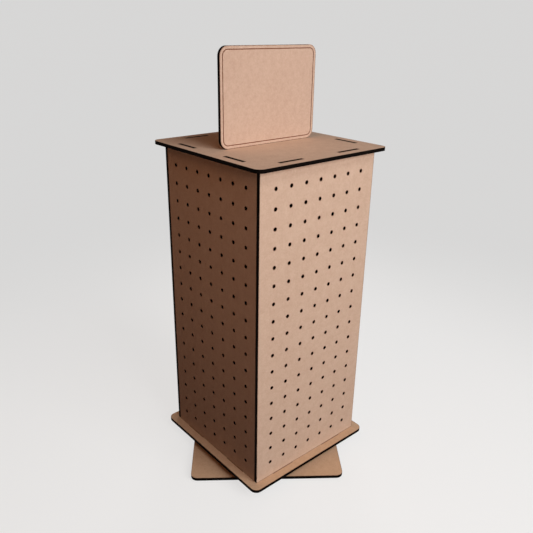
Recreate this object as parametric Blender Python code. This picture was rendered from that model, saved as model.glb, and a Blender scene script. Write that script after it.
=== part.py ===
"""Rotating pegboard display: a square column of laser-cut pegboard that spins on a ball-race turntable.

Run with: blender --background --python part.py
The column's front panel faces -Y, +Z is up, and the origin is on the turning axis at the floor.
"""

import math

import bmesh
import bpy

MM = 0.001
WELD = 1e-6            # metres; points closer than this are one point
SMOOTH_ANGLE = math.radians(35)

# Sheet material and fits, in millimetres
BOARD = 4.75           # thickness of the fibreboard sheet that every flat piece is cut from
SEAT = 0.3             # glue line between two pieces that rest on each other
SLOT_PLAY = 0.15       # gap on each side of a tab in its slot, and of a screw in its hole

# Pegboard column
BOX_SIDE = 203.2       # outside width of the square column
PANEL_HEIGHT = 456.0   # panel height between its shoulders, tabs left out
PEG_PITCH = 25.4       # peg hole spacing, both ways
PEG_EDGE = 18.0        # least distance from a panel's edge to a peg hole
PEG_HOLE_DIA = 4.8
PEG_HOLE_SIDES = 5     # sides of the polygon that stands for each round peg hole
TAB_LENGTH = 38.1      # length of a panel's tab along its edge
TAB_INSET = 31.75      # from the column's corner to the near end of a tab

# Top, turning and foot plates are cut to one outline
PLATE_OVERHANG = 12.7  # how far the plates stand out past the column
PLATE_CORNER = 10.0    # corner radius
CORNER_STEPS = 4       # straight runs in one rounded corner

# Header sign
SIGN_WIDTH = 164.0
SIGN_HEIGHT = 125.5
SIGN_CORNER = 12.0
SIGN_TAB_LENGTH = 38.1
SIGN_TAB_INSET = 21.5  # from the sign's side to the near end of a tab
SIGN_BACK = 1.4        # from the top plate's centre line back to the middle of the sign
SIGN_LINE_INSET = 3.8  # from the sign's edge to the engraved border line
SIGN_LINE_WIDTH = 1.0
SIGN_LINE_DEPTH = 0.5

# Turntable bearing: two pressed steel plates, a ring of balls and a hollow rivet
BEARING_SIDE = 101.6
BEARING_CORNER = 8.0
BEARING_SHEET = 1.2
BEARING_HOLE_INSET = 7.8  # from the plate's edges to a corner screw
BALL_DIA = 5.6
BALL_COUNT = 12
BALL_SEGMENTS = 6      # facets round a ball, and rings from pole to pole
BALL_RINGS = 4
RACE_INSET = 18.8      # from the plate's edge to the circle that the balls run on
RACE_STEPS = 20        # straight runs round the race
RACE_PLAY = 0.15       # gap over and under a ball
RACE_SIDE_PLAY = 0.5   # gap beside a ball, between the rims
RACE_WALL_RUN = 1.5    # width of the sloped wall of the race
RACE_LIFT = 0.25       # height of the race's floor above the face of the sheet
RIM_GAP = 2.2          # gap between the rims of the two plates
RIM_LIP = 0.9          # flat on top of the outer rim
RIM_SLOPE = 1.6        # run of the pressed slope outside the rim
RIVET_BORE_DIA = 15.0
RIVET_WALL = 1.2
RIVET_LIP = 3.8        # width of the rivet's flanges
RIVET_SINK = 0.2       # how far the flanges lie inside the backs of the plates
RIVET_STEPS = 12

# Pan-head screws, four into each plate
SCREW_SHANK_DIA = 3.5
SCREW_HEAD_DIA = 6.8
SCREW_HEAD_HEIGHT = 2.1
SCREW_COVER = 0.95     # board left beyond the tip of a screw
SCREW_STEPS = 6
SCREW_ACCESS_DIA = 16.0  # hole in the foot plate that lets a driver reach the upper screws

# Stick-on rubber feet
FOOT_HEIGHT = 3.0
FOOT_DIA = 14.0
FOOT_TAPER = 1.5       # how much smaller the foot's radius is at the floor
FOOT_INSET = 22.0      # from the foot plate's edge to a foot's centre
FOOT_STEPS = 8

# The foot plate's turn under the column, as the display stands
STAND_TURN = math.radians(-38.2)

# Sizes that follow from those above
PLATE_SIDE = BOX_SIDE + 2 * PLATE_OVERHANG
PANEL_MIDDLE = BOX_SIDE / 2 - BOARD / 2  # from the axis to the middle of a panel's thickness
TAB_DEPTH = BOARD + SEAT                 # a tab ends flush with the plate that it passes through
TAB_MIDDLE = BOX_SIDE / 2 - TAB_INSET - TAB_LENGTH / 2
SIGN_TAB_MIDDLE = SIGN_WIDTH / 2 - SIGN_TAB_INSET - SIGN_TAB_LENGTH / 2
SCREW_OFFSET = BEARING_SIDE / 2 - BEARING_HOLE_INSET
SCREW_LENGTH = BEARING_SHEET + 2 * SEAT + BOARD - SCREW_COVER
RACE_RADIUS = BEARING_SIDE / 2 - RACE_INSET
RACE_FLOOR = BEARING_SHEET + RACE_LIFT   # heights above the back of a bearing plate
RACE_RIM = RACE_FLOOR + (BALL_DIA + 2 * RACE_PLAY - RIM_GAP) / 2
BEARING_HEIGHT = BALL_DIA + 2 * (RACE_PLAY + RACE_FLOOR)

# Heights of the stack, from the floor up
FOOT_PLATE_Z = FOOT_HEIGHT + SEAT
BEARING_Z = FOOT_PLATE_Z + BOARD + SEAT
TURN_PLATE_Z = BEARING_Z + BEARING_HEIGHT + SEAT
PANEL_Z = TURN_PLATE_Z + BOARD + SEAT
TOP_PLATE_Z = PANEL_Z + PANEL_HEIGHT + SEAT
SIGN_Z = TOP_PLATE_Z + BOARD + SEAT

QUARTER = math.pi / 2


# Materials

def material(name, colour, roughness, metallic=0.0):
    made = bpy.data.materials.new(name)
    made.use_nodes = True
    shader = made.node_tree.nodes["Principled BSDF"]
    shader.inputs["Base Color"].default_value = (*colour, 1.0)
    shader.inputs["Roughness"].default_value = roughness
    shader.inputs["Metallic"].default_value = metallic
    return made


def make_materials():
    return {
        "fibreboard": material("fibreboard", (0.62, 0.42, 0.30), 0.75),
        "charred_edge": material("charred_edge", (0.012, 0.009, 0.008), 0.85),
        "zinc_steel": material("zinc_steel", (0.62, 0.63, 0.65), 0.35, 1.0),
        "ball_steel": material("ball_steel", (0.75, 0.75, 0.77), 0.12, 1.0),
        "rubber": material("rubber", (0.02, 0.02, 0.02), 0.8),
    }


# Outlines: lists of (x, y) points in millimetres, anticlockwise

def round_hole(diameter, sides, centre=(0.0, 0.0)):
    """A regular polygon with the round hole's area."""
    radius = diameter / 2 * math.sqrt(2 * math.pi / sides / math.sin(2 * math.pi / sides))
    turns = [2 * math.pi * k / sides for k in range(sides)]
    return [(centre[0] + radius * math.cos(a), centre[1] + radius * math.sin(a)) for a in turns]


def rectangle(width, height, centre=(0.0, 0.0)):
    x, y = centre
    signs = ((-1, -1), (1, -1), (1, 1), (-1, 1))
    return [(x + sx * width / 2, y + sy * height / 2) for sx, sy in signs]


def rounded_corner(corner_x, corner_y, radius, start):
    """A quarter circle inside the corner of a rectangle, from the angle start."""
    toward = start + QUARTER / 2
    middle_x = corner_x - math.copysign(radius, math.cos(toward))
    middle_y = corner_y - math.copysign(radius, math.sin(toward))
    angles = [start + QUARTER * k / CORNER_STEPS for k in range(CORNER_STEPS + 1)]
    return [(middle_x + radius * math.cos(a), middle_y + radius * math.sin(a)) for a in angles]


def rounded_rectangle(width, height, radius, centre_y=0.0):
    points = []
    for corner, (x, y) in enumerate(rectangle(width, height, (0.0, centre_y))):
        points += rounded_corner(x, y, radius, math.pi + QUARTER * corner)
    return points


def tab_steps(offset, length):
    """The corners of two tabs below an edge at y = 0, from left to right."""
    points = []
    for middle in (-offset, offset):
        left = middle - length / 2
        right = middle + length / 2
        points += [(left, 0.0), (left, -TAB_DEPTH), (right, -TAB_DEPTH), (right, 0.0)]
    return points


def panel_outline(width):
    below = tab_steps(TAB_MIDDLE, TAB_LENGTH)
    above = [(-x, PANEL_HEIGHT - y) for x, y in below]
    half = width / 2
    return [(-half, 0.0), *below, (half, 0.0), (half, PANEL_HEIGHT), *above, (-half, PANEL_HEIGHT)]


def sign_outline():
    plain = rounded_rectangle(SIGN_WIDTH, SIGN_HEIGHT, SIGN_CORNER, SIGN_HEIGHT / 2)
    first_corner = CORNER_STEPS + 1
    tabs = tab_steps(SIGN_TAB_MIDDLE, SIGN_TAB_LENGTH)
    return plain[:first_corner] + tabs + plain[first_corner:]


# Solids

def add_loop(bm, points):
    corners = [bm.verts.new((x * MM, y * MM, 0.0)) for x, y in points]
    return [bm.edges.new((corners[k - 1], corners[k])) for k in range(len(corners))]


def fill_region(bm, *loops):
    """Faces between an outer loop of edges and the loops inside it."""
    edges = [edge for loop in loops for edge in loop]
    filled = bmesh.ops.triangle_fill(bm, edges=edges, use_dissolve=False, normal=(0, 0, 1))
    return [item for item in filled["geom"] if isinstance(item, bmesh.types.BMFace)]


def thicken(bm, faces, thickness):
    """Extrudes a flat region upwards."""
    made = bmesh.ops.extrude_face_region(bm, geom=faces)["geom"]
    corners = [item for item in made if isinstance(item, bmesh.types.BMVert)]
    bmesh.ops.translate(bm, verts=corners, vec=(0, 0, thickness * MM))


def finish(bm, name, materials, parent):
    """Turns a bmesh into a named object; a second material goes on the walls of the cut."""
    bmesh.ops.recalc_face_normals(bm, faces=bm.faces)
    if len(materials) > 1:
        for face in bm.faces:
            face.material_index = int(abs(face.normal.z) < 0.5)
    mesh = bpy.data.meshes.new(name)
    bm.to_mesh(mesh)
    bm.free()
    for one in materials:
        mesh.materials.append(one)
    made = bpy.data.objects.new(name, mesh)
    bpy.context.collection.objects.link(made)
    made.parent = parent
    return made


def sheet_piece(name, outline, openings, materials, parent):
    """A piece cut from the fibreboard sheet, lying on its XY plane."""
    bm = bmesh.new()
    region = fill_region(bm, add_loop(bm, outline), *(add_loop(bm, hole) for hole in openings))
    thicken(bm, region, BOARD)
    return finish(bm, name, materials, parent)


def turned_piece(name, profile, steps, materials, parent):
    """A solid of revolution about Z from a profile of (radius, z) points."""
    bm = bmesh.new()
    corners = [bm.verts.new((radius * MM, 0.0, z * MM)) for radius, z in profile]
    chain = [bm.edges.new(pair) for pair in zip(corners, corners[1:])]
    if profile[0][0] > 0:
        chain.append(bm.edges.new((corners[-1], corners[0])))
    bmesh.ops.spin(bm, geom=corners + chain, cent=(0, 0, 0), axis=(0, 0, 1), angle=2 * math.pi,
                   steps=steps, use_merge=True)
    bmesh.ops.remove_doubles(bm, verts=bm.verts, dist=WELD)
    made = finish(bm, name, materials, parent)
    made.data.shade_smooth()
    made.data.set_sharp_from_angle(angle=SMOOTH_ANGLE)
    return made


def place(made, x, y, z, turn=(0.0, 0.0, 0.0)):
    made.location = (x * MM, y * MM, z * MM)
    made.rotation_euler = turn


def four_corners(offset):
    return [(sx * offset, sy * offset) for sx, sy in ((-1, -1), (1, -1), (1, 1), (-1, 1))]


def turned_point(x, y, turn):
    return (x * math.cos(turn) - y * math.sin(turn), x * math.sin(turn) + y * math.cos(turn))


# The pegboard column

def peg_places(span):
    """Places along a panel's width or height, centred on it, as many as fit at the peg pitch."""
    gaps = int((span - 2 * PEG_EDGE) / PEG_PITCH)
    return [(k - gaps / 2) * PEG_PITCH for k in range(gaps + 1)]


def peg_holes():
    centres = [(x, PANEL_HEIGHT / 2 + y) for y in peg_places(PANEL_HEIGHT) for x in peg_places(BOX_SIDE)]
    return [round_hole(PEG_HOLE_DIA, PEG_HOLE_SIDES, centre) for centre in centres]


def make_panels(materials, display):
    """Front and back run the full width; the left and right panels fit between them."""
    full_width = BOX_SIDE
    between_width = BOX_SIDE - 2 * (BOARD + SEAT)
    inner_face = BOX_SIDE / 2 - BOARD
    sides = (
        ("front_panel", full_width, 0.0),
        ("right_panel", between_width, QUARTER),
        ("back_panel", full_width, 2 * QUARTER),
        ("left_panel", between_width, -QUARTER),
    )
    for name, width, yaw in sides:
        panel = sheet_piece(name, panel_outline(width), peg_holes(), materials, display)
        x, y = turned_point(0.0, -inner_face, yaw)
        place(panel, x, y, PANEL_Z, (QUARTER, 0.0, yaw))


def tab_slots():
    """Slots for the panels' tabs, two along each side of a plate."""
    play = 2 * SLOT_PLAY
    slots = []
    for side in range(4):
        for middle in (-TAB_MIDDLE, TAB_MIDDLE):
            flat = rectangle(TAB_LENGTH + play, BOARD + play, (middle, -PANEL_MIDDLE))
            slots.append([turned_point(x, y, side * QUARTER) for x, y in flat])
    return slots


def sign_slots():
    play = 2 * SLOT_PLAY
    middles = (-SIGN_TAB_MIDDLE, SIGN_TAB_MIDDLE)
    return [rectangle(SIGN_TAB_LENGTH + play, BOARD + play, (x, SIGN_BACK)) for x in middles]


def screw_holes():
    diameter = SCREW_SHANK_DIA + 2 * SLOT_PLAY
    return [round_hole(diameter, SCREW_STEPS, point) for point in four_corners(SCREW_OFFSET)]


def plate_outline():
    return rounded_rectangle(PLATE_SIDE, PLATE_SIDE, PLATE_CORNER)


def make_display_plates(materials, display):
    top = sheet_piece("top_plate", plate_outline(), tab_slots() + sign_slots(), materials, display)
    place(top, 0.0, 0.0, TOP_PLATE_Z)
    turning = sheet_piece("turning_plate", plate_outline(), tab_slots() + screw_holes(), materials, display)
    place(turning, 0.0, 0.0, TURN_PLATE_Z)


def make_sign(materials, display):
    """The sign's front face, at z = 0 as it is cut, carries one engraved line that follows its edge."""
    def border(inset):
        size = (SIGN_WIDTH - 2 * inset, SIGN_HEIGHT - 2 * inset)
        return rounded_rectangle(*size, max(SIGN_CORNER - inset, SIGN_LINE_WIDTH), SIGN_HEIGHT / 2)

    bm = bmesh.new()
    edge = add_loop(bm, sign_outline())
    outer = add_loop(bm, border(SIGN_LINE_INSET))
    inner = add_loop(bm, border(SIGN_LINE_INSET + SIGN_LINE_WIDTH))
    margin = fill_region(bm, edge, outer)
    line = fill_region(bm, outer, inner)
    middle = fill_region(bm, inner)
    thicken(bm, margin + line + middle, BOARD)
    thicken(bm, line, SIGN_LINE_DEPTH)
    bmesh.ops.delete(bm, geom=line, context="FACES_ONLY")
    sign = finish(bm, "sign_plate", materials, display)
    place(sign, 0.0, SIGN_BACK - BOARD / 2, SIGN_Z, (QUARTER, 0.0, 2 * QUARTER))


# The turntable bearing

def race_profile():
    """Section of the pressed race, from the face of the sheet round the bore to its back."""
    bore = RIVET_BORE_DIA / 2 + RIVET_WALL + SEAT
    rim_half = BALL_DIA / 2 + RACE_SIDE_PLAY
    floor_half = rim_half - RACE_WALL_RUN
    outer = RACE_RADIUS + rim_half + RIM_LIP
    under_rim = RACE_RIM - BEARING_SHEET
    return [
        (outer + RIM_SLOPE, BEARING_SHEET),
        (outer, RACE_RIM),
        (RACE_RADIUS + rim_half, RACE_RIM),
        (RACE_RADIUS + floor_half, RACE_FLOOR),
        (RACE_RADIUS - floor_half, RACE_FLOOR),
        (RACE_RADIUS - rim_half, RACE_RIM),
        (bore, RACE_RIM),
        (bore, under_rim),
        (RACE_RADIUS - rim_half - RIM_LIP, under_rim),
        (RACE_RADIUS - floor_half, 0.0),
        (RACE_RADIUS + floor_half, 0.0),
        (RACE_RADIUS + rim_half, under_rim),
        (outer + RIM_SLOPE, 0.0),
    ]


def bearing_plate(name, materials, parent):
    """A square steel plate with corner holes, its middle pressed into half of a ball race."""
    profile = race_profile()
    ring = profile[0][0]
    turns = [2 * math.pi * k / RACE_STEPS for k in range(RACE_STEPS)]
    opening = [(ring * math.cos(a), ring * math.sin(a)) for a in turns]
    bm = bmesh.new()
    outline = rounded_rectangle(BEARING_SIDE, BEARING_SIDE, BEARING_CORNER)
    loops = [add_loop(bm, points) for points in (outline, opening, *screw_holes())]
    thicken(bm, fill_region(bm, *loops), BEARING_SHEET)
    inside = [face for face in bm.faces if all(v.co.xy.length < ring * MM + WELD for v in face.verts)]
    bmesh.ops.delete(bm, geom=inside, context="FACES_ONLY")
    corners = [bm.verts.new((radius * MM, 0.0, z * MM)) for radius, z in profile]
    chain = [bm.edges.new(pair) for pair in zip(corners, corners[1:])]
    bmesh.ops.spin(bm, geom=corners + chain, cent=(0, 0, 0), axis=(0, 0, 1), angle=2 * math.pi,
                   steps=RACE_STEPS, use_merge=True)
    bmesh.ops.remove_doubles(bm, verts=bm.verts, dist=WELD)
    return finish(bm, name, materials, parent)


def make_bearing(plate_materials, ball_materials, stand, balls, display):
    place(bearing_plate("bearing_lower_plate", plate_materials, stand), 0.0, 0.0, BEARING_Z)
    upper = bearing_plate("bearing_upper_plate", plate_materials, display)
    place(upper, 0.0, 0.0, BEARING_Z + BEARING_HEIGHT, (math.pi, 0.0, 0.0))

    inside = RIVET_BORE_DIA / 2
    tube = inside + RIVET_WALL
    flange = tube + RIVET_LIP
    lower_face = RACE_RIM - BEARING_SHEET - SEAT
    upper_face = BEARING_HEIGHT - lower_face
    profile = [
        (inside, BEARING_HEIGHT - RIVET_SINK),
        (flange, BEARING_HEIGHT - RIVET_SINK),
        (flange, upper_face),
        (tube, upper_face),
        (tube, lower_face),
        (flange, lower_face),
        (flange, RIVET_SINK),
        (inside, RIVET_SINK),
    ]
    rivet = turned_piece("bearing_rivet", profile, RIVET_STEPS, plate_materials, stand)
    place(rivet, 0.0, 0.0, BEARING_Z)

    for k in range(BALL_COUNT):
        bm = bmesh.new()
        bmesh.ops.create_uvsphere(bm, u_segments=BALL_SEGMENTS, v_segments=BALL_RINGS,
                                  radius=BALL_DIA / 2 * MM)
        ball = finish(bm, f"bearing_ball_{k + 1:02d}", ball_materials, balls)
        ball.data.shade_smooth()
        x, y = turned_point(RACE_RADIUS, 0.0, 2 * math.pi * k / BALL_COUNT)
        place(ball, x, y, BEARING_Z + BEARING_HEIGHT / 2)


def make_screws(materials, stand, display):
    """Heads sit inside the bearing; the lower screws point down and the upper ones up."""
    head = SCREW_HEAD_DIA / 2
    shank = SCREW_SHANK_DIA / 2
    profile = [
        (0.0, SCREW_HEAD_HEIGHT),
        (head, SCREW_HEAD_HEIGHT),
        (head, 0.0),
        (shank, 0.0),
        (shank, -SCREW_LENGTH),
        (0.0, -SCREW_LENGTH),
    ]
    under_head = BEARING_SHEET + SEAT
    for k, (x, y) in enumerate(four_corners(SCREW_OFFSET)):
        lower = turned_piece(f"lower_screw_{k + 1}", profile, SCREW_STEPS, materials, stand)
        place(lower, x, y, BEARING_Z + under_head)
        upper = turned_piece(f"upper_screw_{k + 1}", profile, SCREW_STEPS, materials, display)
        place(upper, x, y, BEARING_Z + BEARING_HEIGHT - under_head, (math.pi, 0.0, 0.0))


# The stand

def make_stand(board_materials, rubber_materials, stand):
    access_reach = math.hypot(SCREW_OFFSET, SCREW_OFFSET)
    access = round_hole(SCREW_ACCESS_DIA, 2 * SCREW_STEPS, (access_reach, 0.0))
    plate = sheet_piece("foot_plate", plate_outline(), screw_holes() + [access], board_materials, stand)
    place(plate, 0.0, 0.0, FOOT_PLATE_Z)
    profile = [
        (0.0, FOOT_HEIGHT),
        (FOOT_DIA / 2, FOOT_HEIGHT),
        (FOOT_DIA / 2 - FOOT_TAPER, 0.0),
        (0.0, 0.0),
    ]
    for k, (x, y) in enumerate(four_corners(PLATE_SIDE / 2 - FOOT_INSET)):
        foot = turned_piece(f"rubber_foot_{k + 1}", profile, FOOT_STEPS, rubber_materials, stand)
        place(foot, x, y, 0.0)


def axis_empty(name, turn=0.0):
    """An empty on the turning axis, which carries the pieces of one moving body."""
    made = bpy.data.objects.new(name, None)
    bpy.context.collection.objects.link(made)
    made.rotation_euler = (0.0, 0.0, turn)
    return made


def main():
    for old in list(bpy.data.objects):
        bpy.data.objects.remove(old)
    finishes = make_materials()
    cut_board = [finishes["fibreboard"], finishes["charred_edge"]]
    steel = [finishes["zinc_steel"]]
    stand = axis_empty("stand_axis", STAND_TURN)
    balls = axis_empty("ball_axis")
    display = axis_empty("display_axis")
    make_stand(cut_board, [finishes["rubber"]], stand)
    make_bearing(steel, [finishes["ball_steel"]], stand, balls, display)
    make_screws(steel, stand, display)
    make_panels(cut_board, display)
    make_display_plates(cut_board, display)
    make_sign(cut_board, display)


main()
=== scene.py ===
import math

import bmesh
import bpy
from mathutils import Matrix, Vector


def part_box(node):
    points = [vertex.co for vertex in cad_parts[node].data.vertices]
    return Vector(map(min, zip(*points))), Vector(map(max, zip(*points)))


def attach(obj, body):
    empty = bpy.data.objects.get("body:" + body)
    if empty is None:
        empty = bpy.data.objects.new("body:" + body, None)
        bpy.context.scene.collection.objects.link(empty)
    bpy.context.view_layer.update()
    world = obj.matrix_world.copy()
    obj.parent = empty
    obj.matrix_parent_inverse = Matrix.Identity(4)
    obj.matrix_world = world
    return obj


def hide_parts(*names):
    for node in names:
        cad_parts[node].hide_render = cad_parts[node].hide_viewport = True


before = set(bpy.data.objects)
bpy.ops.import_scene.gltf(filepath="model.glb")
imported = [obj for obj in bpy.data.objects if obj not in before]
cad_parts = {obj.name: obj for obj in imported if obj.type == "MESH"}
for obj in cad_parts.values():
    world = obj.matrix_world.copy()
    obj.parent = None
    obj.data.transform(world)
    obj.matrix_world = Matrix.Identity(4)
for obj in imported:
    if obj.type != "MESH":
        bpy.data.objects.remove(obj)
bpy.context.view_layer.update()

mm = 0.001
hair = 0.01 * mm  # places closer than this are the same place
quarterTurn = math.pi / 2
print("frame loaded:", len(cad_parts), "nodes")


# Hand tools: short names for what is done again and again in edit mode

def putDown():  # back to object mode with nothing selected
    if bpy.context.object and bpy.context.object.mode != "OBJECT":
        bpy.ops.object.mode_set(mode="OBJECT")
    bpy.ops.object.select_all(action="DESELECT")


def takeUp(piece):  # this piece alone, selected and active
    putDown()
    piece.select_set(True)
    bpy.context.view_layer.objects.active = piece


def openUp(piece):  # edit mode with nothing selected
    takeUp(piece)
    bpy.ops.object.mode_set(mode="EDIT")
    bpy.ops.mesh.select_all(action="DESELECT")


def settle(piece):  # place, turn and scale go into the mesh
    takeUp(piece)
    bpy.ops.object.transform_apply(location=True, rotation=True, scale=True)


def newPiece(name):  # names what was just added, and opens it for shaping
    piece = bpy.context.object
    piece.name = piece.data.name = name
    settle(piece)
    openUp(piece)
    return piece


def middle(part):  # of an edge or a face
    return sum((corner.co for corner in part.verts), Vector()) / len(part.verts)


def pick(kind, rule):  # selects the parts that the rule says yes to
    bpy.ops.mesh.select_mode(type=kind)
    bpy.ops.mesh.select_all(action="DESELECT")
    mesh = bpy.context.object.data
    shape = bmesh.from_edit_mesh(mesh)
    for part in {"VERT": shape.verts, "EDGE": shape.edges, "FACE": shape.faces}[kind]:
        if rule(part):
            part.select_set(True)
    shape.select_flush_mode()
    bmesh.update_edit_mesh(mesh)


def pickAll(kind="VERT"):
    bpy.ops.mesh.select_mode(type=kind)
    bpy.ops.mesh.select_all(action="SELECT")


def stretchEdges(*way):  # extrudes the edges that are selected
    bpy.ops.mesh.extrude_edges_move(TRANSFORM_OT_translate={"value": way})


def cutAcross(axis, places):  # a straight cut through the whole piece at each place
    normal = [float(axis == name) for name in "xyz"]
    for place in places:
        bpy.ops.mesh.select_all(action="SELECT")
        bpy.ops.mesh.bisect(plane_co=[place * part for part in normal], plane_no=normal)


def roundCorners(width, cuts):  # of a flat sheet, at the points that are selected
    bpy.ops.mesh.bevel(offset=width, segments=cuts, affect="VERTICES")


def faceOut():  # turns every face of a closed shape outwards
    bpy.ops.mesh.select_all(action="SELECT")
    bpy.ops.mesh.normals_make_consistent(inside=False)


def faceAlong(way):  # turns every face of an open sheet to one side
    faceOut()
    faces = bmesh.from_edit_mesh(bpy.context.object.data).faces
    faces.ensure_lookup_table()
    if faces[0].normal.dot(way) < 0:
        bpy.ops.mesh.flip_normals()


def modify(piece, kind, **settings):
    takeUp(piece)
    change = piece.modifiers.new(kind.title(), kind)
    for name, value in settings.items():
        setattr(change, name, value)
    bpy.ops.object.modifier_apply(modifier=change.name)


def cutAway(piece, tool, **settings):  # takes the tool's shape out of the piece and throws the tool away
    modify(piece, "BOOLEAN", operation="DIFFERENCE", object=tool, **settings)
    bpy.data.objects.remove(tool)


def smoothRound(piece, degrees=35):
    takeUp(piece)
    bpy.ops.object.shade_smooth_by_angle(angle=math.radians(degrees))


def turnAbout(angle, axis="Z"):
    return Matrix.Rotation(angle, 4, axis)


def moveTo(x, y, z):
    return Matrix.Translation((x, y, z))


def copyTo(piece, name, where):  # a copy with its own mesh, moved by the matrix
    takeUp(piece)
    bpy.ops.object.duplicate()
    twin = bpy.context.object
    twin.name = twin.data.name = name
    twin.matrix_world = where
    settle(twin)
    return twin


def dress(piece, *finishes):
    piece.data.materials.clear()
    for finish in finishes:
        piece.data.materials.append(finish)


def paint(piece, slot):  # gives the selected faces one of the piece's finishes
    piece.active_material_index = slot
    bpy.ops.object.material_slot_assign()


def fit(piece, node, body):  # the piece stands for a node of the frame and rides on its body
    putDown()
    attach(piece, body)
    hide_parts(node)


# Shader maths

class Wire:  # a socket that can be used in sums
    def __init__(self, finish, socket):
        self.finish = finish
        self.socket = socket

    def maths(self, operation, *values):
        return self.finish.node("Math", {"operation": operation}, dict(enumerate(values)))

    def __add__(self, other):
        return self.maths("ADD", self, other)

    def __radd__(self, other):
        return self.maths("ADD", other, self)

    def __sub__(self, other):
        return self.maths("SUBTRACT", self, other)

    def __rsub__(self, other):
        return self.maths("SUBTRACT", other, self)

    def __mul__(self, other):
        return self.maths("MULTIPLY", self, other)

    def __rmul__(self, other):
        return self.maths("MULTIPLY", other, self)

    def __pow__(self, other):
        return self.maths("POWER", self, other)

    def __rpow__(self, other):
        return self.maths("POWER", other, self)

    def __abs__(self):
        return self.maths("ABSOLUTE", self)

    def above(self, other):  # the larger of the two
        return self.maths("MAXIMUM", self, other)

    def below(self, other):  # the smaller of the two
        return self.maths("MINIMUM", self, other)

    def held(self):  # kept between 0 and 1
        return self.below(1.0).above(0.0)

    def saw(self, length):  # distance from the middle of each repeat of that length
        return abs(self.maths("WRAP", self, length / 2, -length / 2))

    def fade(self, start, end):  # 1 before start, 0 after end
        steps = {"Value": self, "From Min": start, "From Max": end, "To Min": 1.0, "To Max": 0.0}
        return self.finish.node("MapRange", {"interpolation_type": "SMOOTHSTEP"}, steps)


def farFrom(x, y):  # straight distance, from its two parts
    return (x * x + y * y) ** 0.5


def boxDistance(across, up, halfWidth, halfHeight, corner=0.0):  # to a rounded box's edge, minus inside it
    outX = abs(across) - (halfWidth - corner)
    outY = abs(up) - (halfHeight - corner)
    return farFrom(outX.above(0.0), outY.above(0.0)) + outX.above(outY).below(0.0) - corner


class Finish:  # the nodes behind one material, or behind the world
    def __init__(self, owner, shader="Principled BSDF"):
        self.material = owner
        self.material.use_nodes = True
        self.tree = self.material.node_tree
        self.shader = self.tree.nodes[shader]

    def node(self, kind, settings, sockets, output=0):
        made = self.tree.nodes.new("ShaderNode" + kind)
        for name, value in settings.items():
            setattr(made, name, value)
        for name, value in sockets.items():
            self.plug(made.inputs[name], value)
        return Wire(self, made.outputs[output])

    def outputs(self, kind, sockets, *names):  # one node, and a wire from each output named
        made = self.node(kind, {}, sockets).socket.node
        return [Wire(self, made.outputs[name]) for name in names]

    def plug(self, socket, value):
        if isinstance(value, Wire):
            self.tree.links.new(value.socket, socket)
        else:
            socket.default_value = value

    def set(self, **sockets):  # the shader's own sockets, with _ for a space
        for name, value in sockets.items():
            self.plug(self.shader.inputs[name.replace("_", " ")], value)

    def place(self, turn=(0, 0, 0), scale=(1, 1, 1)):  # where a point lies on the piece, in metres
        where = self.node("TexCoord", {}, {}, "Object")
        return self.node("Mapping", {}, {"Vector": where, "Rotation": turn, "Scale": scale})

    def axes(self, vector):
        return self.outputs("SeparateXYZ", {"Vector": vector}, "X", "Y", "Z")

    def noise(self, vector, size, detail, roughness=0.5):  # size is the width of one blotch
        sockets = {"Vector": vector, "Scale": 1 / size, "Detail": detail, "Roughness": roughness}
        return self.node("TexNoise", {}, sockets)

    def cells(self, vector, size):  # distance to each cell's middle, and a number of the cell's own
        sockets = {"Vector": vector, "Scale": 1 / size, "Randomness": 1.0}
        distance, colour = self.outputs("TexVoronoi", sockets, "Distance", "Color")
        return distance, self.axes(colour)[0]

    def mix(self, factor, first, second):  # colours
        return self.node("Mix", {"data_type": "RGBA"}, {0: factor, 6: first, 7: second}, 2)

    def bump(self, height, depth, strength):
        return self.node("Bump", {}, {"Height": height, "Distance": depth, "Strength": strength})

    def seen(self):  # 1 where the camera looks, straight or by way of metal or glass
        rays = self.outputs("LightPath", {}, "Is Camera Ray", "Is Glossy Ray", "Is Transmission Ray")
        return rays[0].above(rays[1]).above(rays[2])


def newFinish(name):
    return Finish(bpy.data.materials.new(name))


# Fibreboard: the pressed face, browned beside each cut, and the burnt wall of the cut

boardLook = {
    "pale": (0.655, 0.462, 0.347),
    "deep": (0.570, 0.382, 0.279),
    "clouds": (70 * mm, 3.0, 0.55),  # size, detail and roughness of each layer
    "blotches": (8 * mm, 2.0, 0.5),
    "mottle": (2.6 * mm, 5.0, 0.68),
    "strands": (1.0, 2.0, 0.6),  # in the units of strandSize
    "strandSize": (2.4 * mm, 0.22 * mm),
    "strandTurns": (8, 67, 128),  # degrees, three layers that cross
    "cloudShare": 0.6,  # how far each layer moves the tone from deep to pale
    "blotchShare": 1.15,
    "mottleShare": 2.1,
    "fibreShare": 1.2,
    "toneShift": 2.14,  # brings the sum of the layers back to the middle
    "fleck": (0.300, 0.165, 0.105, 1),
    "fleckSpacing": 3.6 * mm,
    "fleckEdge": (0.05, 0.12),  # in spacings
    "fleckCells": (0.25, 0.30),  # about this share of the spots hold a fleck
    "fleckStrength": 0.5,
    "scorch": (0.150, 0.055, 0.025, 1),
    "scorchWidth": 1.1 * mm,
    "scorchWaver": 0.9 * mm,
    "edgeBurn": 0.75,
    "cutBurn": 0.85,
    "cutWaver": 0.6,  # round a hole the line wavers less
    "roughness": (0.66, 0.30),  # least, and what the fibres add
    "gloss": 0.05,
    "relief": (0.09 * mm, 0.55),  # depth and strength
    "reliefShares": (0.6, 0.4),  # of the fibres and of the mottle
}


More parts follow.
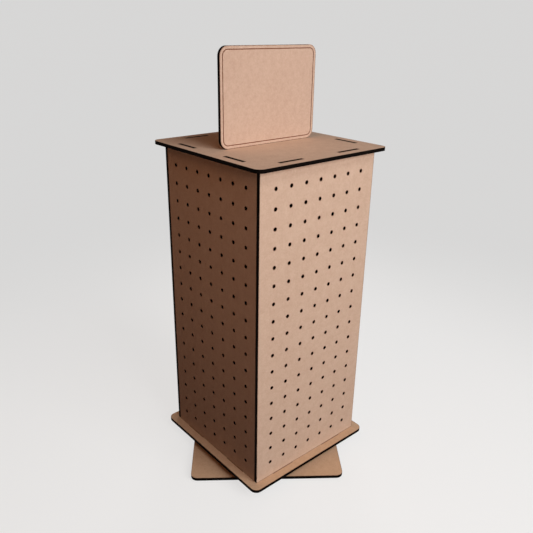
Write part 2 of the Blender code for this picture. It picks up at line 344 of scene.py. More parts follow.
def fibreLayer(finish, angle, normalAxis):  # short strands that lie along one direction of the board's face
    long, thin = boardLook["strandSize"]
    turn = [0.0, 0.0, 0.0]
    turn[normalAxis] = math.radians(angle)
    scale = [1 / thin] * 3
    scale[(normalAxis + 1) % 3] = 1 / long
    stretched = finish.node("Mapping", {}, {"Vector": finish.place(turn), "Scale": scale})
    return finish.noise(stretched, *boardLook["strands"])


def tinted(colour, tint):
    return (*(part * share for part, share in zip(colour, tint)), 1)


def boardFinish(name, normalAxis, edgeDistance, cutDistance=None, cutScorch=0.0, turn=0.0, tint=(1, 1, 1)):
    look = boardLook
    finish = newFinish(name)
    where = finish.place((0, 0, turn))
    clouds = finish.noise(where, *look["clouds"])
    blotches = finish.noise(where, *look["blotches"])
    mottle = finish.noise(where, *look["mottle"])
    first, second, third = (fibreLayer(finish, angle, normalAxis) for angle in look["strandTurns"])
    fibres = first.above(second).above(third)
    tone = clouds * look["cloudShare"] + blotches * look["blotchShare"] + mottle * look["mottleShare"]
    tone = (tone + fibres * look["fibreShare"] - look["toneShift"]).held()
    base = finish.mix(tone, tinted(look["deep"], tint), tinted(look["pale"], tint))
    toSpot, lot = finish.cells(where, look["fleckSpacing"])
    flecks = toSpot.fade(*look["fleckEdge"]) * lot.fade(*look["fleckCells"]) * look["fleckStrength"]
    speckled = finish.mix(flecks, base, look["fleck"])
    waver = (mottle - 0.5) * look["scorchWaver"]  # the scorch line isn't ruled
    burn = (edgeDistance(finish, where) * -1 + waver).fade(0.0, look["scorchWidth"]) * look["edgeBurn"]
    if cutDistance:
        toCut = cutDistance(finish, where) + waver * look["cutWaver"]
        burn = burn.above(toCut.fade(0.0, cutScorch) * look["cutBurn"])
    leastRough, fibreRough = look["roughness"]
    fibreRelief, mottleRelief = look["reliefShares"]
    finish.set(
        Base_Color=finish.mix(burn, speckled, look["scorch"]),
        Roughness=leastRough + fibres * fibreRough,
        Specular_IOR_Level=look["gloss"],
        Normal=finish.bump(fibres * fibreRelief + mottle * mottleRelief, *look["relief"]),
    )
    return finish.material


charLook = {
    "soot": (0.0018, 0.0014, 0.0012, 1),
    "brown": (0.010, 0.0058, 0.004, 1),
    "streaks": (0.32 * mm, 3.0),  # size and detail
    "streakStretch": 0.06,  # along the beam
    "patches": (9 * mm, 3.0),
    "streakShare": 0.8,
    "patchShare": 0.7,
    "toneShift": 0.5,
    "roughness": (0.75, 0.2),
    "gloss": 0.03,
    "relief": (0.12 * mm, 0.6),
}


def charFinish(name, normalAxis):  # burnt wall of a laser cut, streaked along the beam
    look = charLook
    finish = newFinish(name)
    scale = [1.0, 1.0, 1.0]
    scale[normalAxis] = look["streakStretch"]
    streaks = finish.noise(finish.place(scale=scale), *look["streaks"])
    patches = finish.noise(finish.place(), *look["patches"])
    tone = (streaks * look["streakShare"] + patches * look["patchShare"] - look["toneShift"]).held()
    leastRough, streakRough = look["roughness"]
    finish.set(
        Base_Color=finish.mix(tone, look["soot"], look["brown"]),
        Roughness=leastRough + streaks * streakRough,
        Specular_IOR_Level=look["gloss"],
        Normal=finish.bump(streaks, *look["relief"]),
    )
    return finish.material


# Sizes that the boards share

def sizeOf(node):
    low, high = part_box(node)
    return high - low


frontLow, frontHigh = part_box("front_panel")
topLow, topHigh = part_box("top_plate")
signLow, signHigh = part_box("sign_plate")
board = topHigh.z - topLow.z  # sheet thickness
seat = 0.3 * mm  # glue line between two boards
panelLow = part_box("turning_plate")[1].z + seat  # a panel's shoulders, tabs left out
panelHigh = topLow.z - seat
panelHalfway = (panelLow + panelHigh) / 2
panelMiddle = frontHigh.x - board / 2  # from the axis to the middle of a panel
plateHalf = topHigh.x
signFoot = topHigh.z + seat  # the sign's lower edge, tabs left out

tabPlan = {
    "length": 38.1 * mm,
    "panelOffset": 50.8 * mm,  # from a panel's middle to its tab's
    "signOffset": 41.45 * mm,  # and the same on the sign
    "play": 0.15 * mm,  # between a tab and its slot
    "scorch": 1.5 * mm,  # how far the laser browned the face round a slot
}


def onTab(edge, offset, height):  # the edge lies on a board's end, where a tab grows out of it
    spot = middle(edge)
    return abs(spot.z - height) < hair and abs(abs(spot.x) - offset) < tabPlan["length"] / 2


def thicken(piece):  # a sheet becomes a board, and the cut walls take the second finish
    modify(piece, "SOLIDIFY", thickness=board, offset=-1.0, use_rim=True, material_offset_rim=1)


# Pegboard panels: one hole in its square of board, repeated, then margins, tabs and thickness

pegPlan = {
    "pitch": 25.4 * mm,
    "hole": 4.8 * mm,
    "sides": 16,
    "columns": 7,
    "rows": 17,
    "scorch": 1.0 * mm,  # how far the laser browned the face round a hole
}
pegPitch = pegPlan["pitch"]
gridHalf = Vector((pegPlan["columns"], pegPlan["rows"])) * pegPitch / 2
gridLow = panelHalfway - gridHalf.y
gridHigh = panelHalfway + gridHalf.y


def panelEdge(alongAxis, halfWidth):
    def distance(finish, where):
        spot = finish.axes(where)
        return boxDistance(spot[alongAxis], spot[2] - panelHalfway, halfWidth, (panelHigh - panelLow) / 2)
    return distance


def pegCuts(alongAxis):
    def distance(finish, where):
        spot = finish.axes(where)
        along = spot[alongAxis]
        height = spot[2] - panelHalfway  # a row of holes lies halfway up
        toHole = farFrom(along.saw(pegPitch), height.saw(pegPitch)) - pegPlan["hole"] / 2
        return toHole.above(boxDistance(along, height, *gridHalf))
    return distance


def pegCell(name):  # the grid's first square of board, with a hole in it
    sides = pegPlan["sides"]
    firstX = pegPitch / 2 - gridHalf.x
    firstZ = pegPitch / 2 + gridLow
    upright = {"location": (firstX, frontLow.y, firstZ), "rotation": (quarterTurn, 0, 0)}
    putDown()
    bpy.ops.mesh.primitive_plane_add(size=pegPitch, **upright)
    cell = newPiece(name)
    pickAll()
    bpy.ops.mesh.subdivide(number_cuts=sides // 4 - 1)
    reach = pegPitch / 2 - hair
    pick("VERT", lambda spot: abs(spot.co.x - firstX) < reach and abs(spot.co.z - firstZ) < reach)
    bpy.ops.mesh.delete(type="VERT")
    share = 2 * math.pi / sides
    radius = pegPlan["hole"] / 2 * math.sqrt(share / math.sin(share))  # the polygon has the round hole's area
    bpy.ops.mesh.primitive_circle_add(vertices=sides, radius=radius, **upright)
    bpy.ops.mesh.select_all(action="SELECT")
    bpy.ops.mesh.bridge_edge_loops()
    faceAlong(Vector((0, -1, 0)))
    return cell


def repeatCell(panel):
    weld = {"use_relative_offset": False, "use_constant_offset": True, "use_merge_vertices": True,
            "merge_threshold": hair}
    modify(panel, "ARRAY", count=pegPlan["columns"], constant_offset_displace=(pegPitch, 0, 0), **weld)
    modify(panel, "ARRAY", count=pegPlan["rows"], constant_offset_displace=(0, 0, pegPitch), **weld)


def growMargins(panel, halfWidth):  # plain board round the grid, then the tabs
    openUp(panel)
    for side in (-1, 1):
        pick("EDGE", lambda edge: all(abs(spot.co.x - side * gridHalf.x) < hair for spot in edge.verts))
        stretchEdges(side * (halfWidth - gridHalf.x), 0, 0)
    for end, shoulder, tabEnd in ((gridLow, panelLow, frontLow.z), (gridHigh, panelHigh, frontHigh.z)):
        pick("EDGE", lambda edge: all(abs(spot.co.z - end) < hair for spot in edge.verts))
        stretchEdges(0, 0, shoulder - end)
        pick("EDGE", lambda edge: onTab(edge, tabPlan["panelOffset"], shoulder))
        stretchEdges(0, 0, tabEnd - shoulder)


def pegPanel(name, halfWidth, *coats):  # faces -Y, at the front of the column
    panel = pegCell(name)
    repeatCell(panel)
    growMargins(panel, halfWidth)
    dress(panel, *coats)
    thicken(panel)
    smoothRound(panel)
    return panel


sideHalf = sizeOf("left_panel").y / 2
frontFace = boardFinish("board_front_back", 1, panelEdge(0, frontHigh.x), pegCuts(0), pegPlan["scorch"])
sideFace = boardFinish("board_left_right", 0, panelEdge(1, sideHalf), pegCuts(1), pegPlan["scorch"])
frontCut = charFinish("char_front_back", 1)
sideCut = charFinish("char_left_right", 0)
frontPanel = pegPanel("pegboard_front", frontHigh.x, frontFace, frontCut)
backPanel = copyTo(frontPanel, "pegboard_back", turnAbout(math.pi))
leftPanel = pegPanel("pegboard_left", sideHalf, sideFace, sideCut)
leftPanel.matrix_world = turnAbout(-quarterTurn)
settle(leftPanel)
rightPanel = copyTo(leftPanel, "pegboard_right", turnAbout(math.pi))
fit(frontPanel, "front_panel", "column")
fit(backPanel, "back_panel", "column")
fit(leftPanel, "left_panel", "column")
fit(rightPanel, "right_panel", "column")
print("pegboard panels made")


# Plates: a square sheet with rounded corners, slotted along straight cuts and drilled

platePlan = {
    "corner": 10 * mm,
    "cornerCuts": 6,
    "footTurn": math.radians(-38.2),  # how the column was left, seen from the foot plate
    "topPaintedLight": (1.12, 1.16, 1.17),  # painted light: the top plate is made paler to stand in for more light falling on its top
    "lowTint": (0.97, 0.92, 0.80),  # and the two low plates warmer and darker
}
drillPlan = {
    "screwOffset": 43 * mm,  # from the axis, both ways
    "screwHole": 3.8 * mm,
    "driverHole": 16 * mm,  # lets a screwdriver reach the upper screws
    "sides": 24,
    "bitLength": 60 * mm,
}


def plateEdge(finish, where):
    x, y, _ = finish.axes(where)
    return boxDistance(x, y, plateHalf, plateHalf, platePlan["corner"])


def slotCuts(finish, where):
    x, y, _ = finish.axes(where)
    along = abs(x).below(abs(y)) - tabPlan["panelOffset"]  # all eight slots folded on to one
    across = abs(x).above(abs(y)) - panelMiddle
    return boxDistance(along, across, tabPlan["length"] / 2, board / 2)


def slotRange(spot, half):  # from one wall of a slot to the other
    reach = half + tabPlan["play"]
    return (spot - reach, spot + reach)


def panelSlots():  # (x range, y range) of the eight slots for the panels' tabs
    slots = []
    for side in (-1, 1):
        for end in (-1, 1):
            along = slotRange(end * tabPlan["panelOffset"], tabPlan["length"] / 2)
            across = slotRange(side * panelMiddle, board / 2)
            slots += [(along, across), (across, along)]
    return slots


def signSlots():
    across = slotRange((signLow.y + signHigh.y) / 2, board / 2)
    return [(slotRange(end * tabPlan["signOffset"], tabPlan["length"] / 2), across) for end in (-1, 1)]


def plate(name, node, slots, *coats):
    putDown()
    bpy.ops.mesh.primitive_plane_add(size=2 * plateHalf, location=(0, 0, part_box(node)[1].z))
    sheet = newPiece(name)
    cutAcross("x", sorted({wall for across, up in slots for wall in across}))
    cutAcross("y", sorted({wall for across, up in slots for wall in up}))

    def inSlot(face):
        spot = middle(face)
        return any(x[0] < spot.x < x[1] and y[0] < spot.y < y[1] for x, y in slots)

    pick("FACE", inSlot)
    bpy.ops.mesh.delete(type="FACE")
    pick("VERT", lambda spot: min(abs(spot.co.x), abs(spot.co.y)) > plateHalf - hair)
    roundCorners(platePlan["corner"], platePlan["cornerCuts"])
    dress(sheet, *coats)
    thicken(sheet)
    smoothRound(sheet)
    return sheet


def fourCorners(offset):
    return [(x * offset, y * offset) for x, y in ((-1, -1), (1, -1), (1, 1), (-1, 1))]


def drill(piece, places, diameter, coat):  # round holes straight through, low on the object
    bitShape = {"vertices": drillPlan["sides"], "radius": diameter / 2, "depth": drillPlan["bitLength"]}
    for x, y in places:
        putDown()
        bpy.ops.mesh.primitive_cylinder_add(location=(x, y, 0), **bitShape)
        bit = bpy.context.object
        dress(bit, coat)
        cutAway(piece, bit, material_mode="TRANSFER")


topPaintedLight = platePlan["topPaintedLight"]
lowTint = platePlan["lowTint"]
footTurn = platePlan["footTurn"]
standTurn = turnAbout(footTurn)
screwPlaces = fourCorners(drillPlan["screwOffset"])
driverPlace = (drillPlan["screwOffset"] * math.sqrt(2), 0)
# the top plate's face carries painted light: its colour is raised for the light that falls on its top
topFace = boardFinish("board_top", 2, plateEdge, slotCuts, tabPlan["scorch"], tint=topPaintedLight)
turningFace = boardFinish("board_turning", 2, plateEdge, slotCuts, tabPlan["scorch"], tint=lowTint)
footFace = boardFinish("board_foot", 2, plateEdge, turn=-footTurn, tint=lowTint)
plateCut = charFinish("char_plates", 2)
topPlate = plate("top_cover", "top_plate", panelSlots() + signSlots(), topFace, plateCut)
turningPlate = plate("turning_base", "turning_plate", panelSlots(), turningFace, plateCut)
footPlate = plate("foot_base", "foot_plate", [], footFace, plateCut)
drill(turningPlate, screwPlaces, drillPlan["screwHole"], plateCut)
drill(footPlate, screwPlaces, drillPlan["screwHole"], plateCut)
drill(footPlate, [driverPlace], drillPlan["driverHole"], plateCut)
footPlate.matrix_world = standTurn
settle(footPlate)
fit(topPlate, "top_plate", "column")
fit(turningPlate, "turning_plate", "column")
fit(footPlate, "foot_plate", "stand")
print("plates made")


# Header sign: rounded sheet with one engraved line and two tabs

signPlan = {
    "corner": 12 * mm,
    "cornerCuts": 10,
    "lineInset": 3.8 * mm,
    "lineWidth": 1.0 * mm,
    "lineDepth": 0.5 * mm,
    "lineScorch": 0.25 * mm,
    "tint": (0.955, 0.94, 0.955),
}
engravedLook = {
    "floor": (0.270, 0.095, 0.050, 1),
    "sooty": (0.150, 0.050, 0.026, 1),
    "passes": (0.13 * mm, 2.0),
    "passStretch": 0.25,  # along the beam's way
    "patches": (4 * mm, 3.0),
    "passShare": 0.5,
    "patchShare": 0.8,
    "toneShift": 0.2,
    "roughness": (0.82, 0.1),
    "gloss": 0.05,
    "relief": (0.08 * mm, 0.6),
}
signWidth = signHigh.x - signLow.x
signHeight = signHigh.z - signFoot
signHalfway = signFoot + signHeight / 2


def signEdge(finish, where):
    x, _, z = finish.axes(where)
    return boxDistance(x, z - signHalfway, signWidth / 2, signHeight / 2, signPlan["corner"])


def signLine(finish, where):
    halfLine = signPlan["lineWidth"] / 2
    behind = finish.axes(where)[1] - (signLow.y + signHigh.y) / 2  # only the front is engraved
    return (abs(signEdge(finish, where) + (signPlan["lineInset"] + halfLine)) - halfLine).above(behind)


def engravedFinish(name):  # the sign's line: fibres burnt away in close passes of the beam
    look = engravedLook
    finish = newFinish(name)
    passes = finish.noise(finish.place(scale=(look["passStretch"], 1.0, 1.0)), *look["passes"])
    patches = finish.noise(finish.place(), *look["patches"])
    tone = (passes * look["passShare"] + patches * look["patchShare"] - look["toneShift"]).held()
    leastRough, patchRough = look["roughness"]
    finish.set(
        Base_Color=finish.mix(tone, look["floor"], look["sooty"]),
        Roughness=leastRough + patches * patchRough,
        Specular_IOR_Level=look["gloss"],
        Normal=finish.bump(passes, *look["relief"]),
    )
    return finish.material


def makeSign(*coats):  # for the face, the cut walls and the line
    plan = signPlan
    faceSlot, lineSlot = 0, 2
    putDown()
    upright = {"location": (0, signLow.y, signHalfway), "rotation": (quarterTurn, 0, 0)}
    bpy.ops.mesh.primitive_plane_add(size=1, **upright)
    bpy.context.object.scale = (signWidth, signHeight, 1)
    dress(bpy.context.object, *coats)
    sign = newPiece("header_sign")
    pickAll()
    roundCorners(plan["corner"], plan["cornerCuts"])
    halfTab = tabPlan["length"] / 2
    cutAcross("x", [side * (tabPlan["signOffset"] + end * halfTab) for side in (-1, 1) for end in (-1, 1)])
    pickAll("FACE")
    bpy.ops.mesh.inset(thickness=plan["lineInset"], depth=0)
    paint(sign, lineSlot)
    bpy.ops.mesh.inset(thickness=plan["lineWidth"], depth=0)
    paint(sign, faceSlot)
    pick("EDGE", lambda edge: edge.is_boundary and onTab(edge, tabPlan["signOffset"], signFoot))
    stretchEdges(0, 0, signLow.z - signFoot)
    thicken(sign)
    openUp(sign)
    pick("FACE", lambda face: face.material_index == lineSlot and face.normal.y > 0.5)  # the back has no line
    paint(sign, faceSlot)
    pick("FACE", lambda face: face.material_index == lineSlot)
    bpy.ops.mesh.extrude_region_move(TRANSFORM_OT_translate={"value": (0, plan["lineDepth"], 0)})
    smoothRound(sign)
    return sign


signFace = boardFinish("board_sign", 1, signEdge, signLine, signPlan["lineScorch"], tint=signPlan["tint"])
headerSign = makeSign(signFace, frontCut, engravedFinish("engraved_line"))
fit(headerSign, "sign_plate", "column")
print("sign made")


# Turned pieces: one ring of edges, carried along a profile of (radius, height) points

def ringWalk(profile):
    for (radius, height), (nextRadius, nextHeight) in zip(profile, profile[1:]):
        stretchEdges(0, 0, nextHeight - height)
        ratio = nextRadius / radius
        bpy.ops.transform.resize(value=(ratio, ratio, 1), center_override=(0, 0, 0))


def turnedPiece(name, profile, sides, hollow=False):
    radius, height = profile[0]
    putDown()
    bpy.ops.mesh.primitive_circle_add(vertices=sides, radius=radius, location=(0, 0, height))
    piece = newPiece(name)
    pickAll("EDGE")
    ringWalk(profile)
    pick("EDGE", lambda edge: edge.is_boundary)
    if hollow:
        bpy.ops.mesh.bridge_edge_loops()  # the last ring meets the first
    else:
        bpy.ops.mesh.fill_holes(sides=0)
    faceOut()
    return piece


def roundRings(width, cuts, rule):  # bevels the rings whose (radius, height) the rule says yes to
    def onRing(edge):
        (radius, height), (nextRadius, nextHeight) = ((spot.co.xy.length, spot.co.z) for spot in edge.verts)
        level = abs(radius - nextRadius) < hair and abs(height - nextHeight) < hair
        return level and rule(radius, height)

    pick("EDGE", onRing)
    bpy.ops.mesh.bevel(offset=width, segments=cuts, affect="EDGES")


# Turntable: two pressed plates, balls between them and a hollow rivet

bearingPlan = {
    "side": sizeOf("bearing_upper_plate").x,
    "corner": 8 * mm,
    "sheet": 1.2 * mm,
    "sides": 72,  # points round the race, and as many round the plate's corners
    "bend": 0.4 * mm,
    "bendCuts": 3,
    "race": [(r * mm, z * mm) for r, z in (
        (37.8, 1.2), (36.2, 3.3), (35.3, 3.3), (33.8, 1.45), (30.2, 1.45), (28.7, 3.3), (9.0, 3.3))],
}
rivetPlan = {
    "profile": [(r * mm, z * mm) for r, z in (
        (7.5, 8.6), (12.5, 8.6), (12.5, 7.0), (8.7, 7.0), (8.7, 1.8), (12.5, 1.8), (12.5, 0.2), (7.5, 0.2))],
    "sides": 48,
    "rolled": 0.55 * mm,
    "rolledCuts": 4,
}
ballPlan = {
    "diameter": 5.6 * mm,
    "circle": 32 * mm,  # radius that the balls run on
    "count": 12,
    "cuts": 5,
}
zincLook = {
    "dark": (0.50, 0.51, 0.53, 1),
    "pale": (0.70, 0.71, 0.72, 1),
    "spangleSize": 5 * mm,
    "rolled": (0.5 * mm, 3.0),
    "rolledStretch": 0.04,
    "haze": (14 * mm, 4.0),
    "spangleShare": 0.5,
    "rolledShare": 0.4,
    "roughness": (0.26, 0.12, 0.16),  # least, and what the spangle and the haze add
    "relief": (0.02 * mm, 0.4),
}
ballLook = {
    "grey": (0.62, 0.62, 0.63, 1),
    "warm": (0.74, 0.73, 0.70, 1),
    "film": (2.2 * mm, 3.0),
    "roughness": (0.09, 0.09),
}


def zincFinish(name):  # galvanised sheet: pale spangle, rolled lines and a little dulling
    look = zincLook
    finish = newFinish(name)
    spangle = finish.cells(finish.place(), look["spangleSize"])[1]
    rolled = finish.noise(finish.place(scale=(look["rolledStretch"], 1.0, 1.0)), *look["rolled"])
    haze = finish.noise(finish.place(), *look["haze"])
    tone = spangle * look["spangleShare"] + rolled * look["rolledShare"]
    leastRough, spangleRough, hazeRough = look["roughness"]
    finish.set(
        Base_Color=finish.mix(tone, look["dark"], look["pale"]),
        Metallic=1.0,
        Roughness=leastRough + spangle * spangleRough + haze * hazeRough,
        Normal=finish.bump(rolled, *look["relief"]),
    )
    return finish.material


def ballFinish(name):  # polished, under a thin film of oil
    look = ballLook
    finish = newFinish(name)
    film = finish.noise(finish.place(), *look["film"])
    leastRough, filmRough = look["roughness"]
    finish.set(
        Base_Color=finish.mix(film, look["grey"], look["warm"]),
        Metallic=1.0,
        Roughness=leastRough + film * filmRough,
    )
    return finish.material


def bearingPlate(coat):  # lies on z = 0 with its race facing up
    plan = bearingPlan
    race = plan["race"]
    outer = race[0][0]
    bore = race[-1][0]
    flat = {"location": (0, 0, plan["sheet"])}
    putDown()
    bpy.ops.mesh.primitive_plane_add(size=plan["side"], **flat)
    sheet = newPiece("pressed_plate")
    pickAll()
    roundCorners(plan["corner"], plan["sides"] // 4 - 1)
    bpy.ops.mesh.select_all(action="SELECT")
    bpy.ops.mesh.delete(type="ONLY_FACE")
    halfStep = (0, 0, math.pi / plan["sides"])
    bpy.ops.mesh.primitive_circle_add(vertices=plan["sides"], radius=outer, rotation=halfStep, **flat)
    bpy.ops.mesh.select_all(action="SELECT")
    bpy.ops.mesh.bridge_edge_loops()
    pick("EDGE", lambda edge: edge.is_boundary and middle(edge).xy.length < outer)
    ringWalk(race)
    roundRings(plan["bend"], plan["bendCuts"], lambda r, z: bore + plan["bend"] < r < outer + hair)
    faceAlong(Vector((0, 0, 1)))
    dress(sheet, coat)
    modify(sheet, "SOLIDIFY", thickness=plan["sheet"], offset=-1.0)
    drill(sheet, screwPlaces, drillPlan["screwHole"], coat)
    smoothRound(sheet)
    return sheet


def makeRivet(coat, lowEnd):
    plan = rivetPlan
    wide = max(radius for radius, height in plan["profile"])
    rivet = turnedPiece("turntable_rivet", plan["profile"], plan["sides"], hollow=True)
    roundRings(plan["rolled"], plan["rolledCuts"], lambda radius, height: radius > wide - hair)
    dress(rivet, coat)
    smoothRound(rivet)
    rivet.location.z = lowEnd
    settle(rivet)
    return rivet


def makeBall(coat):
    plan = ballPlan
    putDown()
    bpy.ops.mesh.primitive_cube_add(size=plan["diameter"])
    ball = newPiece("ball")
    pickAll()
    bpy.ops.mesh.subdivide(number_cuts=plan["cuts"])
    modify(ball, "CAST", factor=1.0, use_radius_as_size=False, size=plan["diameter"] / 2)
    dress(ball, coat)
    smoothRound(ball, 60)
    return ball


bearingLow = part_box("bearing_lower_plate")[0].z
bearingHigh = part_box("bearing_upper_plate")[1].z
upsideDown = turnAbout(math.pi, "X")
zinc = zincFinish("zinc_steel_sheet")
pressed = bearingPlate(zinc)
lowerPlate = copyTo(pressed, "turntable_lower_plate", standTurn @ moveTo(0, 0, bearingLow))
upperPlate = copyTo(pressed, "turntable_upper_plate", moveTo(0, 0, bearingHigh) @ upsideDown)
bpy.data.objects.remove(pressed)
fit(lowerPlate, "bearing_lower_plate", "stand")
fit(upperPlate, "bearing_upper_plate", "column")
fit(makeRivet(zinc, bearingLow), "bearing_rivet", "stand")
roundBall = makeBall(ballFinish("polished_ball_steel"))
ballPlace = moveTo(ballPlan["circle"], 0, (bearingLow + bearingHigh) / 2)
for step in range(ballPlan["count"]):
    turn = turnAbout(2 * math.pi * step / ballPlan["count"])
    ball = copyTo(roundBall, f"race_ball_{step + 1:02d}", turn @ ballPlace)
    fit(ball, f"bearing_ball_{step + 1:02d}", "ball_ring")
bpy.data.objects.remove(roundBall)
print("turntable made")


# Pan-head screws with a cross recess and a rolled thread

screwPlan = {
    "head": 3.4 * mm,
    "headHeight": 2.1 * mm,
    "rim": 0.75 * mm,  # upright part of the head's side
    "dome": (0, 22, 45, 66, 82),  # degrees up the head's curve
    "crown": 0.7,  # below 1 the head is flatter than a ball
    "core": 1.25 * mm,
    "crest": 1.75 * mm,
    "length": 5.6 * mm,
    "pitch": 1.1 * mm,
    "sharpness": 3,  # of the thread
    "ringsPerTurn": 5,
    "sides": 20,
    "slot": (3.5 * mm, 0.85 * mm, 2.4 * mm),
    "underHead": 1.5 * mm,  # from the plate's back to the underside of the head
}


def screwProfile(plan):
    rings = round(plan["length"] / plan["pitch"] * plan["ringsPerTurn"])
    shank = [(plan["core"], -plan["length"] * (1 - step / rings)) for step in range(rings + 1)]
    rise = plan["headHeight"] - plan["rim"]
    angles = [math.radians(angle) for angle in plan["dome"]]
    dome = [(plan["head"] * math.cos(angle) ** plan["crown"], plan["rim"] + rise * math.sin(angle))
            for angle in angles]
    return shank + [(plan["head"], 0.0)] + dome


def rollThread(screw, plan):  # the thread climbs round the shank
    for spot in screw.data.vertices:
        if -plan["length"] < spot.co.z < -plan["pitch"] / 2:
            lap = spot.co.z / plan["pitch"] - math.atan2(spot.co.y, spot.co.x) / (2 * math.pi)
            ridge = max(0.0, 1 - plan["sharpness"] * abs(lap % 1 - 0.5))
            spot.co.xy *= 1 + ridge * (plan["crest"] / plan["core"] - 1)


def makeScrew(coat):  # points down, underside of the head on z = 0
    plan = screwPlan
    screw = turnedPiece("screw", screwProfile(plan), plan["sides"])
    putDown()
    rollThread(screw, plan)
    for angle in (0, quarterTurn):
        bpy.ops.mesh.primitive_cube_add(size=1, location=(0, 0, plan["headHeight"]))
        blade = bpy.context.object
        blade.matrix_world = blade.matrix_world @ turnAbout(angle) @ Matrix.Diagonal((*plan["slot"], 1))
        cutAway(screw, blade)
    dress(screw, coat)
    smoothRound(screw)
    return screw


screw = makeScrew(zinc)
for number, (x, y) in enumerate(screwPlaces, start=1):
    lowerSeat = moveTo(x, y, bearingLow + screwPlan["underHead"])
    upperSeat = moveTo(x, y, bearingHigh - screwPlan["underHead"])
    lower = copyTo(screw, f"pan_screw_lower_{number}", standTurn @ lowerSeat)
    upper = copyTo(screw, f"pan_screw_upper_{number}", upperSeat @ upsideDown)
    fit(lower, f"lower_screw_{number}", "stand")
    fit(upper, f"upper_screw_{number}", "column")
bpy.data.objects.remove(screw)
print("screws made")


# Rubber feet

footPlan = {
    "top": 7.0 * mm,
    "floor": 5.5 * mm,
    "height": 3.0 * mm,
    "sides": 40,
    "inset": 22 * mm,  # from the foot plate's edges
    "round": 0.7 * mm,  # at the floor, and a third of it at the top
    "roundCuts": (4, 2),
}
rubberLook = {
    "black": (0.016, 0.016, 0.017, 1),
    "dusty": (0.040, 0.039, 0.037, 1),
    "grain": (0.35 * mm, 3.0),
    "dust": (5 * mm, 4.0),
    "dustShare": 0.8,
    "roughness": (0.7, 0.2),
    "relief": (0.06 * mm, 0.5),
}


def rubberFinish(name):
    look = rubberLook
    finish = newFinish(name)
    grain = finish.noise(finish.place(), *look["grain"])
    dust = finish.noise(finish.place(), *look["dust"])
    leastRough, grainRough = look["roughness"]
    finish.set(
        Base_Color=finish.mix(dust * look["dustShare"], look["black"], look["dusty"]),
        Roughness=leastRough + grain * grainRough,
        Normal=finish.bump(grain, *look["relief"]),
    )
    return finish.material


def makeFoot(coat):
    plan = footPlan
    foot = turnedPiece("foot", [(plan["floor"], 0.0), (plan["top"], plan["height"])], plan["sides"])
    lowCuts, highCuts = plan["roundCuts"]
    roundRings(plan["round"], lowCuts, lambda radius, height: height < hair)
    roundRings(plan["round"] / 3, highCuts, lambda radius, height: height > plan["height"] - hair)
    dress(foot, coat)
    smoothRound(foot, 50)
    return foot


foot = makeFoot(rubberFinish("black_rubber"))
for number, (x, y) in enumerate(fourCorners(plateHalf - footPlan["inset"]), start=1):
    pad = copyTo(foot, f"foot_pad_{number}", standTurn @ moveTo(x, y, 0))
    fit(pad, f"rubber_foot_{number}", "stand")
bpy.data.objects.remove(foot)
print("feet made")


# Floor and light

stageLook = {
    "floorRadius": 14.0,
    "floorSides": 96,
    "floorNear": (0.22, 0.218, 0.215, 1),  # takes the object's shadow
    "floorFar": (0.02, 0.02, 0.02, 1),
    "fadeOut": (0.45, 1.25),  # from here to here the floor loses its light and shadow
    "floorBounce": (0.12, 0.060, 0.040, 1),  # what the object is lit by
    "floorRoughness": 0.9,
    "backdrop": (0.68, 0.675, 0.67, 1),
    "ambient": (0.006, 0.0045, 0.004, 1),
}
lampPlan = {  # name: place, aim, width and height, spread in degrees, watts, colour
    "key": ((0.05, -1.58, 0.90), (0.0, 0.0, 0.36), (1.10, 0.80), 180, 23.6, (1.0, 1.0, 1.0)),
    "upper": ((0.06, -1.15, 1.85), (0.0, 0.0, 0.45), (1.40, 0.40), 150, 4.8, (1.0, 1.0, 1.0)),
    "right": ((0.90, -1.00, 1.50), (0.0, 0.0, 0.40), (0.60, 0.60), 150, 0.6, (1.0, 1.0, 1.0)),
    "warm": ((-0.88, -0.23, 1.42), (-0.1, 0.0, 0.38), (0.50, 0.80), 120, 0.99, (1.0, 0.46, 0.20)),
    "side": ((-1.20, -0.25, 0.22), (-0.1, 0.0, 0.50), (0.50, 0.15), 46, 0.068, (1.0, 0.64, 0.44)),
    "rear": ((0.92, 0.94, 0.26), (0.0, 0.0, 0.27), (0.50, 0.40), 60, 1.8, (1.0, 0.97, 0.94)),
}


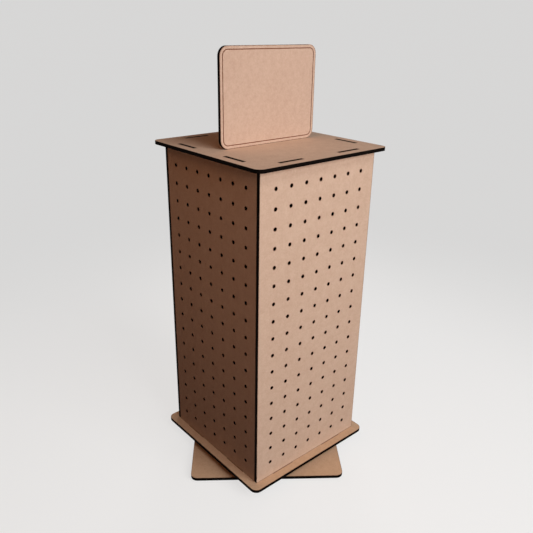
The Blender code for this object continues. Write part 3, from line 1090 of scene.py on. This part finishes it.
def makeFloor():
    look = stageLook
    putDown()
    disc = {"vertices": look["floorSides"], "radius": look["floorRadius"], "fill_type": "NGON"}
    bpy.ops.mesh.primitive_circle_add(location=(0, 0, 0), **disc)
    floor = bpy.context.object
    floor.name = "studio_floor"
    finish = newFinish("pale_floor")
    seen = finish.seen()
    x, y, _ = finish.axes(finish.place())
    near = farFrom(x, y).fade(*look["fadeOut"])
    lit = finish.mix(near, look["floorFar"], look["floorNear"])
    finish.set(
        Base_Color=finish.mix(seen, look["floorBounce"], lit),
        Roughness=look["floorRoughness"],
        Specular_IOR_Level=0.0,
        Emission_Color=finish.mix(seen, (0, 0, 0, 1), look["backdrop"]),
        Emission_Strength=1.0,
    )
    dress(floor, finish.material)


def makeWorld():
    look = stageLook
    world = bpy.data.worlds.new("studio")
    sky = Finish(world, "Background")
    sky.set(Color=sky.mix(sky.seen(), look["ambient"], look["backdrop"]))
    bpy.context.scene.world = world


def makeLamp(name, place, aim, size, spread, watts, colour):
    putDown()
    bpy.ops.object.light_add(type="AREA", location=place)
    lamp = bpy.context.object
    lamp.name = name
    lamp.data.shape = "RECTANGLE"
    lamp.data.size, lamp.data.size_y = size
    lamp.data.spread = math.radians(spread)
    lamp.data.energy = watts
    lamp.data.color = colour
    lamp.rotation_euler = (Vector(aim) - Vector(place)).to_track_quat("-Z", "Y").to_euler()


makeFloor()
makeWorld()
for name, settings in lampPlan.items():
    makeLamp(name, *settings)
print("floor and lamps set")


# Camera, at the photograph's place

cameraPlan = {
    "place": (-0.5299, -0.6067, 0.6352),
    "look": (0.60726, 0.69615, -0.38289),
    "roll": 0.91,  # degrees
    "lens": 39.67,
    "sensor": 36.0,
}


def makeCamera():
    plan = cameraPlan
    putDown()
    bpy.ops.object.camera_add(location=plan["place"])
    camera = bpy.context.object
    camera.data.lens = plan["lens"]
    camera.data.sensor_width = plan["sensor"]
    camera.rotation_mode = "QUATERNION"
    level = Vector(plan["look"]).to_track_quat("-Z", "Y")
    camera.rotation_quaternion = level @ Matrix.Rotation(math.radians(plan["roll"]), 3, "Z").to_quaternion()
    bpy.context.scene.camera = camera


makeCamera()
bpy.context.scene.view_settings.view_transform = "Standard"
putDown()
